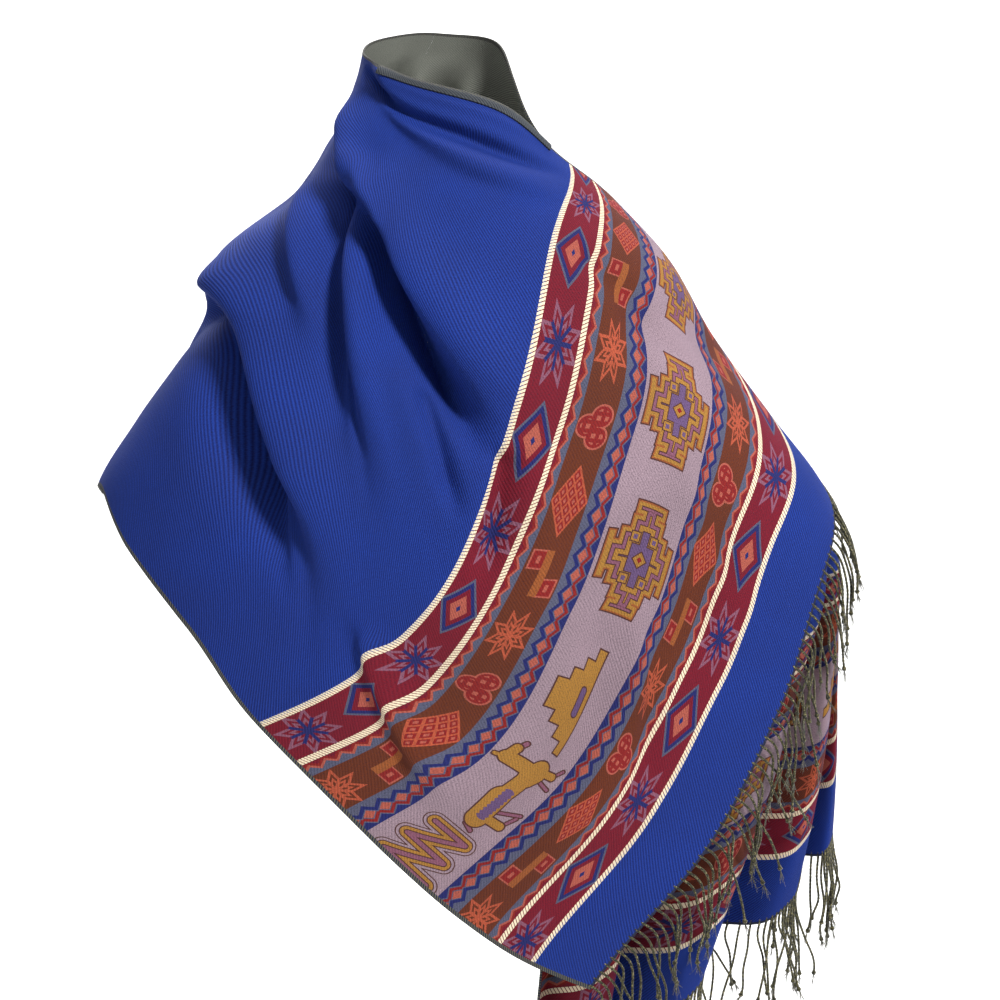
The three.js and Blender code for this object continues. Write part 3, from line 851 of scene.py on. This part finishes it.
def selvedge_group():
    """Edge: within SELVEDGE_WIDTH of either long edge. Stitch: slanting blocks along it."""
    tree, (width, run), made = node_group("Selvedge", ["Width", "Run"], ["Edge", "Stitch"])
    half = CLOTH_WIDTH / 2
    inward = calc(tree, "ABSOLUTE", minus(tree, width, half))
    edge = calc(tree, "GREATER_THAN", inward, half - SELVEDGE_WIDTH)
    slant = plus(tree, run, times(tree, inward, STITCH_LEAN))
    block = calc(tree, "LESS_THAN", calc(tree, "PINGPONG", slant, STITCH_PITCH / 2), STITCH_HALF_WIDTH)
    link_by_name(tree, made, {"Edge": edge, "Stitch": times(tree, edge, block)})
    return tree


twill_weave = twill_group()
patterned_band = band_group()
selvedge = selvedge_group()


def raise_by(tree, fibre, height, strength, distance):
    """A bump on the fibre's normal by that height."""
    bump = tree.nodes.new("ShaderNodeBump")
    bump.inputs["Strength"].default_value = strength
    bump.inputs["Distance"].default_value = distance
    tree.links.new(height, bump.inputs["Height"])
    tree.links.new(bump.outputs[0], fibre.inputs["Normal"])


def placed(tree, group, **links):
    """A node of that group in the tree, its inputs linked by name. Gives its outputs."""
    node = tree.nodes.new("ShaderNodeGroup")
    node.node_tree = group
    link_by_name(tree, node, links)
    return node.outputs


# In the band, painted shade darkens the gaps between the threads, more where the grain is low and less on
# the lit ribs. The cream lines stand out a little, and the hem's last few millimetres are overlocked too.
GAP_SHADE_COLOUR = (0.01, 0.008, 0.02, 1)
GAP_SHARE = 0.19
GAP_BY_GRAIN = -1.3
GAP_BY_RIB = -0.14
LINE_COVER = 0.9
LINE_RELIEF = 0.9
HEM_EDGE = 2.2
FADE_REACH = 0.5
ROUGH_REACH = 0.14
TWILL_BUMP = (0.55, 0.0006)
FIBRE_GLOSS = 0.25
NAP_ROUGHNESS = 0.45


def twill_cloth(name, light, deep, rough, sheen, hem=None, band_strength=1.0):
    """Twill: painted light on the rib crests in the light colour and painted shade in the deep colour in the
    troughs, with real grain and flecks mixed in; a soft nap, the selvedge, and the band from a hem.
    """
    material, tree, fibre = new_material(name)
    cloth_map = tree.nodes.new("ShaderNodeUVMap")
    cloth_map.uv_map = "cloth"
    parts = tree.nodes.new("ShaderNodeSeparateXYZ")
    tree.links.new(cloth_map.outputs[0], parts.inputs[0])
    width = times(tree, parts.outputs[0], 1000)
    run = times(tree, parts.outputs[1], 1000)
    twill = placed(tree, twill_weave, Width=width, Run=run)
    # Painted light and shade across the ribs: lit is high on each rib's crest and low in the trough beside
    # it, with the weave's own grain and flecks added in.
    lit = calc(tree, "MULTIPLY_ADD", twill["Rib"], 0.85, 0.1, clamp=True)
    colour = over(tree, deep, light, lit)
    relief = twill["Height"]
    if hem is not None:
        from_hem = run if hem == 0 else minus(tree, hem, run)
        band = placed(tree, patterned_band, Width=width, From_Hem=from_hem)
        # Painted shade between the threads: gap is the share of the near-black shade colour laid over the
        # band's colours.
        gap = calc(tree, "MULTIPLY_ADD", twill["Grain"], GAP_BY_GRAIN, GAP_SHARE)
        gap = calc(tree, "ADD", gap, times(tree, lit, GAP_BY_RIB), clamp=True)
        shaded_band = over(tree, band["Color"], GAP_SHADE_COLOUR, gap)
        colour = over(tree, colour, shaded_band, times(tree, band["Band"], band_strength))
        colour = over(tree, colour, CREAM, times(tree, band["Line"], LINE_COVER * band_strength))
        relief = plus(tree, relief, times(tree, band["Line"], LINE_RELIEF))
    edge = placed(tree, selvedge, Width=width, Run=run)
    colour = over(tree, colour, OVERLOCK, edge["Edge"])
    if hem is not None:
        colour = over(tree, colour, OVERLOCK, calc(tree, "LESS_THAN", from_hem, HEM_EDGE))
    colour = over(tree, colour, PALE_STITCH, edge["Stitch"])
    relief = plus(tree, relief, edge["Stitch"])
    faded = calc(tree, "MULTIPLY_ADD", twill["Fade"], FADE_REACH, 1 - FADE_REACH / 2)
    tone = tree.nodes.new("ShaderNodeHueSaturation")
    tree.links.new(faded, tone.inputs["Value"])
    tree.links.new(colour, tone.inputs["Color"])
    tree.links.new(tone.outputs[0], fibre.inputs["Base Color"])
    worn_rough = calc(tree, "MULTIPLY_ADD", twill["Fade"], ROUGH_REACH, rough - ROUGH_REACH / 2)
    tree.links.new(worn_rough, fibre.inputs["Roughness"])
    raise_by(tree, fibre, relief, *TWILL_BUMP)
    fibre.inputs["Specular IOR Level"].default_value = FIBRE_GLOSS
    fibre.inputs["Sheen Weight"].default_value = sheen
    fibre.inputs["Sheen Roughness"].default_value = NAP_ROUGHNESS
    fibre.inputs["Sheen Tint"].default_value = light
    return material


# Lit and shaded colours of each twill: the light one is painted light on the rib crests, the shaded one is
# painted shade in the troughs between them.
BLUE_LIT = shade(22, 56, 144)
BLUE_SHADED = shade(6, 17, 78)
OLIVE_LIT = shade(126, 128, 118)
OLIVE_SHADED = shade(62, 64, 62)
BLUE_TWILL = {"light": BLUE_LIT, "deep": BLUE_SHADED, "rough": 0.82, "sheen": 0.12}
OLIVE_TWILL = {"light": OLIVE_LIT, "deep": OLIVE_SHADED, "rough": 0.86, "sheen": 0.2}
REVERSE_BAND = 0.55

blue_face = twill_cloth("blue_twill_face", **BLUE_TWILL)
front_face = twill_cloth("front_band_face", **BLUE_TWILL, hem=0)
olive_reverse = twill_cloth("olive_reverse", **OLIVE_TWILL)
front_reverse = twill_cloth("front_band_reverse", **OLIVE_TWILL, hem=0, band_strength=REVERSE_BAND)
cut_edge = twill_cloth("cut_edge", shade(52, 54, 62), shade(24, 26, 34), 0.9, 0.1)

FRONT_COLUMNS = 176
FRONT_ROWS = 160
SEAM_GAP = 0.1

widths = np.linspace(0, CLOTH_WIDTH, FRONT_COLUMNS)
front_cloth = cloth_wall(
    "front_drape_cloth", widths, np.linspace(0, WRAP_FROM - SEAM_GAP, FRONT_ROWS),
    [front_face, front_reverse, cut_edge],
)
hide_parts("front_drape")


# Shoulder wrap: the same cloth over the viewer's left shoulder and upper arm.
# It joins the front drape and the back panel without a seam in the real scarf.

BACK_FROM = 750
WRAP_ROWS = 30

shoulder_cloth = cloth_wall(
    "shoulder_wrap_cloth", widths, np.linspace(WRAP_FROM, BACK_FROM - SEAM_GAP, WRAP_ROWS),
    [blue_face, olive_reverse, cut_edge],
)
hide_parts("shoulder_wrap")


# Back panel: the cloth round the back, with the collar that stands behind the neck.
# It hangs in five soft folds from the shoulders.

UNDER_FROM = 1190
BACK_COLUMNS = 141
BACK_ROWS = 96

back_widths = np.linspace(0, CLOTH_WIDTH, BACK_COLUMNS)
back_cloth = cloth_wall(
    "back_panel_cloth", back_widths, np.linspace(BACK_FROM, UNDER_FROM - SEAM_GAP, BACK_ROWS),
    [blue_face, olive_reverse, cut_edge],
)
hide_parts("back_panel")


# Under drape: the scarf's other end, which comes over the viewer's right arm and hangs in deep pleats.
# Its band is the front drape's, mirrored from its own hem.

UNDER_COLUMNS = 201
UNDER_ROWS = 130

under_face = twill_cloth("under_band_face", **BLUE_TWILL, hem=CLOTH_RUN)
under_reverse = twill_cloth("under_band_reverse", **OLIVE_TWILL, hem=CLOTH_RUN, band_strength=REVERSE_BAND)
under_cloth = cloth_wall(
    "under_drape_cloth", np.linspace(0, CLOTH_WIDTH, UNDER_COLUMNS),
    np.linspace(UNDER_FROM, CLOTH_RUN, UNDER_ROWS), [under_face, under_reverse, cut_edge],
)
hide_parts("under_drape")


# Turned neck edge: a narrow strip of the reverse side, rolled over the front neckline.
# It is a part of the same cloth, held by fine cross stitches.

TURNED_EDGE_FROM = 372
TURNED_EDGE_TO = 562
TURNED_EDGE_WIDTH = 12
TURNED_EDGE_RISE = 0.3
TURNED_EDGE_THICK = 1.2
ROLL_HEIGHT = 1.6
TURNED_COLUMNS = 9
TURNED_ROWS = 64

# The turned edge is the same olive reverse cloth, given darker, bluer colours than olive_reverse: painted
# shade of the neck roll.
shaded_reverse = twill_cloth("turned_edge_shaded_twill", shade(82, 86, 88), shade(26, 30, 44), 0.85, 0.15)
turned_widths = np.linspace(CLOTH_WIDTH - TURNED_EDGE_WIDTH, CLOTH_WIDTH, TURNED_COLUMNS)
rolled = TURNED_EDGE_RISE + TURNED_EDGE_THICK + ROLL_HEIGHT * np.sin(np.linspace(0, np.pi, TURNED_COLUMNS))
turned_edge = cloth_wall(
    "turned_neck_edge_cloth", turned_widths, np.linspace(TURNED_EDGE_FROM, TURNED_EDGE_TO, TURNED_ROWS),
    [shaded_reverse, shaded_reverse, cut_edge], proud=rolled, thick=TURNED_EDGE_THICK,
)
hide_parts("turned_neck_edge")


# Fringes: the warp ends at both hems, twisted in two plies, knotted near the tip and frayed below the knot.
# The strands leave the hem along the cloth and hang down from there.

STRANDS_PER_HEM = 88
STRAND_LENGTH = 64
STRAND_LENGTH_SPREAD = 12
STRAND_SWING = 3.4
CURL_REACH = 4.5
STRANDS_IN_CLUMP = 4
ROOT_DEPTH = 4
PLY_TURN = 6.5
PLY_WAIST = 0.62
YARN_RADIUS = 1.2
KNOT_REACH = 1.5
KNOT_SET = 1.2
KNOT_SWELL = 1.1
TUFT_LENGTH = 13.0
YARN_SIDES = 8
YARN_RINGS = 56
TUFT_FIBRES = 9
FIBRE_RINGS = 5
FIBRE_RADIUS = 0.3
FIBRE_SPREAD = 4.2

# A strand's way, from its root: share of the curve, shares of the length past the hem and down, clear of the
# cloth by so many mm and so many more where it hangs loose, and share of its swing.
STRAND_WAY = [
    (0.14, 0.08, 0.05, 0.6, 0, 0),
    (0.5, 0.15, 0.38, 3.0, 2, 0.4),
    (1.0, 0.17, 0.9, 3.0, 3, 1.0),
]


def tube_faces(tubes, ring_count, sides):
    """Side quads and two end caps of equal tubes whose points are stored tube by tube, ring by ring."""
    index = np.arange(tubes * ring_count * sides).reshape(tubes, ring_count, sides)
    onward = np.roll(index, -1, axis=2)
    quads = np.stack([index[:, :-1], onward[:, :-1], onward[:, 1:], index[:, 1:]], axis=-1).reshape(-1, 4)
    caps = np.concatenate([index[:, 0, ::-1], index[:, -1]])
    return quads.tolist() + caps.tolist()


def round_rings(paths, radii, start_turn):
    """Rings round paths: each point is path + radius * (side * cos + up * sin), square to the path."""
    tangent = np.gradient(paths, axis=1)
    tangent /= np.linalg.norm(tangent, axis=-1, keepdims=True)
    outward = paths * [1, 1, 0]
    side = np.cross(tangent, outward)
    side /= np.linalg.norm(side, axis=-1, keepdims=True)
    up = np.cross(side, tangent)
    count = radii.shape[-1]
    angle = np.arange(count) * 2 * np.pi / count + start_turn
    ring = np.cos(angle)[..., None] * side[:, :, None] + np.sin(angle)[..., None] * up[:, :, None]
    return paths[:, :, None] + radii[..., None] * ring


def hanging_fringe(name, hem_run, onward, seed):
    """Strands on cubics through four points: root in the hem, out along the cloth, then down the outline."""
    chance = np.random.default_rng(seed)
    count = STRANDS_PER_HEM
    width = CLOTH_WIDTH * (np.arange(count) + 0.5) / count
    length = STRAND_LENGTH + STRAND_LENGTH_SPREAD * chance.uniform(-1, 1, count)
    swing = STRAND_SWING * chance.normal(0, 0.5, count)
    hem = np.full(count, float(hem_run))
    out, _, _ = fold_shift(width, hem)
    lift = (FRONT_LIFT if onward < 0 else 0) + out
    pleated = pleat_depth(width, hem)[:, None] * PLEAT_TOWARDS
    loose = chance.uniform(0, 1, count)

    inside_hem = hem - onward * ROOT_DEPTH
    control = [worn(width, inside_hem) - 0.5 * WALL * facing(width, inside_hem)]
    for _, past, drop, clear, more, swung in STRAND_WAY:
        turn, height = place(width, hem + onward * past * length)
        clearance = lift + (clear + more * loose)
        control.append(on_outline(turn + swung * swing, height - drop * length, clearance) + pleated)
    control = np.stack(control, axis=-1)
    t = np.linspace(0, 1, YARN_RINGS)
    spots = np.broadcast_to(t, (count, 3, YARN_RINGS))
    shares = np.array([0] + [row[0] for row in STRAND_WAY])
    paths = through_rows(spots, shares, control[:, :, None, :]).transpose(0, 2, 1)
    outward = paths * [1, 1, 0] / np.linalg.norm(paths[..., :2], axis=-1, keepdims=True)
    sideways = np.cross(outward, [0, 0, 1])
    curl = chance.uniform(0, 2 * np.pi, (count, 1)) + 2 * np.pi * chance.uniform(0.7, 1.8, (count, 1)) * t
    clumps = -(-count // STRANDS_IN_CLUMP)
    clump = np.repeat(chance.normal(0, 4, clumps), STRANDS_IN_CLUMP)[:count, None]
    sway = t * (CURL_REACH * chance.normal(0, 0.6, (count, 1)) * np.sin(curl) + clump * t)
    bulge = t * CURL_REACH * chance.uniform(0, 1, (count, 1)) * (1 + np.cos(curl)) * 0.6
    paths = paths + sway[..., None] * sideways + bulge[..., None] * outward

    pace = np.linalg.norm(np.diff(paths, axis=1), axis=-1)
    along = np.concatenate([np.zeros((count, 1)), np.cumsum(pace, axis=1)], axis=1)
    to_end = along[:, -1:] - along
    knot = np.exp(-((to_end / KNOT_REACH - KNOT_SET) ** 2))
    angle = np.arange(YARN_SIDES) * 2 * np.pi / YARN_SIDES
    phase = chance.uniform(0, 2 * np.pi, count)
    twist = 2 * np.pi * along / PLY_TURN + phase[:, None]
    lobes = np.cos(angle - twist[..., None])
    radii = PLY_WAIST + (1 - PLY_WAIST) * np.abs(lobes)
    radii = YARN_RADIUS * radii * (1 + KNOT_SWELL * knot[..., None])
    yarn = round_rings(paths, radii, 0.0)

    tip = paths[:, -2]
    down = paths[:, -1] - paths[:, -3]
    down /= np.linalg.norm(down, axis=-1, keepdims=True)
    spread = FIBRE_SPREAD * chance.normal(0, 0.6, (count, TUFT_FIBRES, 3))
    reach = TUFT_LENGTH * chance.uniform(0.6, 1.1, (count, TUFT_FIBRES))
    s = np.linspace(0, 1, FIBRE_RINGS)
    straight = s[:, None] * (reach[..., None, None] * down[:, None, None])
    fibres = tip[:, None, None] + straight + (s**1.6)[:, None] * spread[:, :, None]
    fibres = fibres.reshape(-1, FIBRE_RINGS, 3)
    thin = FIBRE_RADIUS * (1.15 - 0.7 * s)
    tufts = round_rings(fibres, np.broadcast_to(thin[:, None], (len(fibres), FIBRE_RINGS, 3)), 0.0)

    points = np.concatenate([yarn.reshape(-1, 3), tufts.reshape(-1, 3)]) / 1000
    shift = count * YARN_RINGS * YARN_SIDES
    fibre_faces = [[k + shift for k in face] for face in tube_faces(len(fibres), FIBRE_RINGS, 3)]
    mesh = smooth_mesh(name, points, tube_faces(count, YARN_RINGS, YARN_SIDES) + fibre_faces)
    ply = mesh.attributes.new("ply", "FLOAT", "POINT")
    frayed = chance.uniform(-1, 1, (len(fibres), 1, 1)) + np.zeros((1, FIBRE_RINGS, 3))
    ply.data.foreach_set("value", np.concatenate([lobes.ravel(), frayed.ravel()]).astype(np.float32))
    strands = put(name, mesh)
    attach(strands, "root")
    return strands


YARN_LIT = shade(64, 62, 37)
YARN_DARK = shade(20, 20, 14)
YARN_GLINT = shade(170, 160, 112)
FUZZ_SCALE = 900
YARN_BUMP = (0.4, 0.0003)
YARN_ROUGHNESS = 0.85
YARN_SHEEN = 0.3


def yarn_material():
    """Two plies: the ply attribute mixes a pale one with a dark one, with glints from a fine noise."""
    material, tree, fibre = new_material("olive_two_ply_yarn")
    ply = tree.nodes.new("ShaderNodeAttribute")
    ply.attribute_name = "ply"
    place_of = tree.nodes.new("ShaderNodeTexCoord")
    fuzz = noise(tree, place_of.outputs["Object"], FUZZ_SCALE, 2)
    pale = calc(tree, "MULTIPLY_ADD", ply.outputs["Fac"], 0.45, 0.5, clamp=True)
    colour = over(tree, YARN_DARK, YARN_LIT, pale)
    glint = times(tree, calc(tree, "GREATER_THAN", fuzz, 0.6), 0.6)
    colour = over(tree, colour, YARN_GLINT, glint)
    tree.links.new(colour, fibre.inputs["Base Color"])
    raise_by(tree, fibre, fuzz, *YARN_BUMP)
    fibre.inputs["Roughness"].default_value = YARN_ROUGHNESS
    fibre.inputs["Specular IOR Level"].default_value = FIBRE_GLOSS
    fibre.inputs["Sheen Weight"].default_value = YARN_SHEEN
    return material


olive_yarn = yarn_material()
front_strands = hanging_fringe("front_fringe_strands", 0, -1, seed=11)
front_strands.data.materials.append(olive_yarn)
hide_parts("front_fringe")
under_strands = hanging_fringe("under_fringe_strands", CLOTH_RUN, 1, seed=12)
under_strands.data.materials.append(olive_yarn)
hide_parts("under_fringe")


# Light: a soft key lamp from the upper right front, a weaker fill from the left, a rim lamp from behind,
# a lamp that whitens the backdrop, and a pale surround.

SURROUND_STRENGTH = 0.2
LAMPS = [
    {"name": "key_lamp", "place": (1.5, -1.8, 1.6), "aim": (0.04, 0, -0.4), "size": 0.6, "watts": 116},
    {"name": "fill_lamp", "place": (-1.9, -2.2, 0.5), "aim": (0.04, 0, -0.4), "size": 1.8, "watts": 15},
    {"name": "back_lamp", "place": (-0.5, 2.0, 1.5), "aim": (0.04, 0, -0.4), "size": 1.4, "watts": 26},
    {"name": "backdrop_lamp", "place": (0, 1.3, 2.6), "aim": (0, 3.6, -0.3), "size": 2.5, "watts": 190},
]

for lamp in LAMPS:
    light = bpy.data.lights.new(lamp["name"], "AREA")
    light.size = lamp["size"]
    light.energy = lamp["watts"]
    stand = put(lamp["name"], light)
    stand.location = lamp["place"]
    aim = Vector(lamp["aim"]) - stand.location
    stand.rotation_euler = aim.to_track_quat("-Z", "Y").to_euler()

surround = bpy.data.worlds.new("pale_surround")
surround.use_nodes = True
surround.node_tree.nodes["Background"].inputs["Color"].default_value = (1, 1, 1, 1)
surround.node_tree.nodes["Background"].inputs["Strength"].default_value = SURROUND_STRENGTH
bpy.context.scene.world = surround
bpy.context.scene.view_settings.view_transform = "Standard"
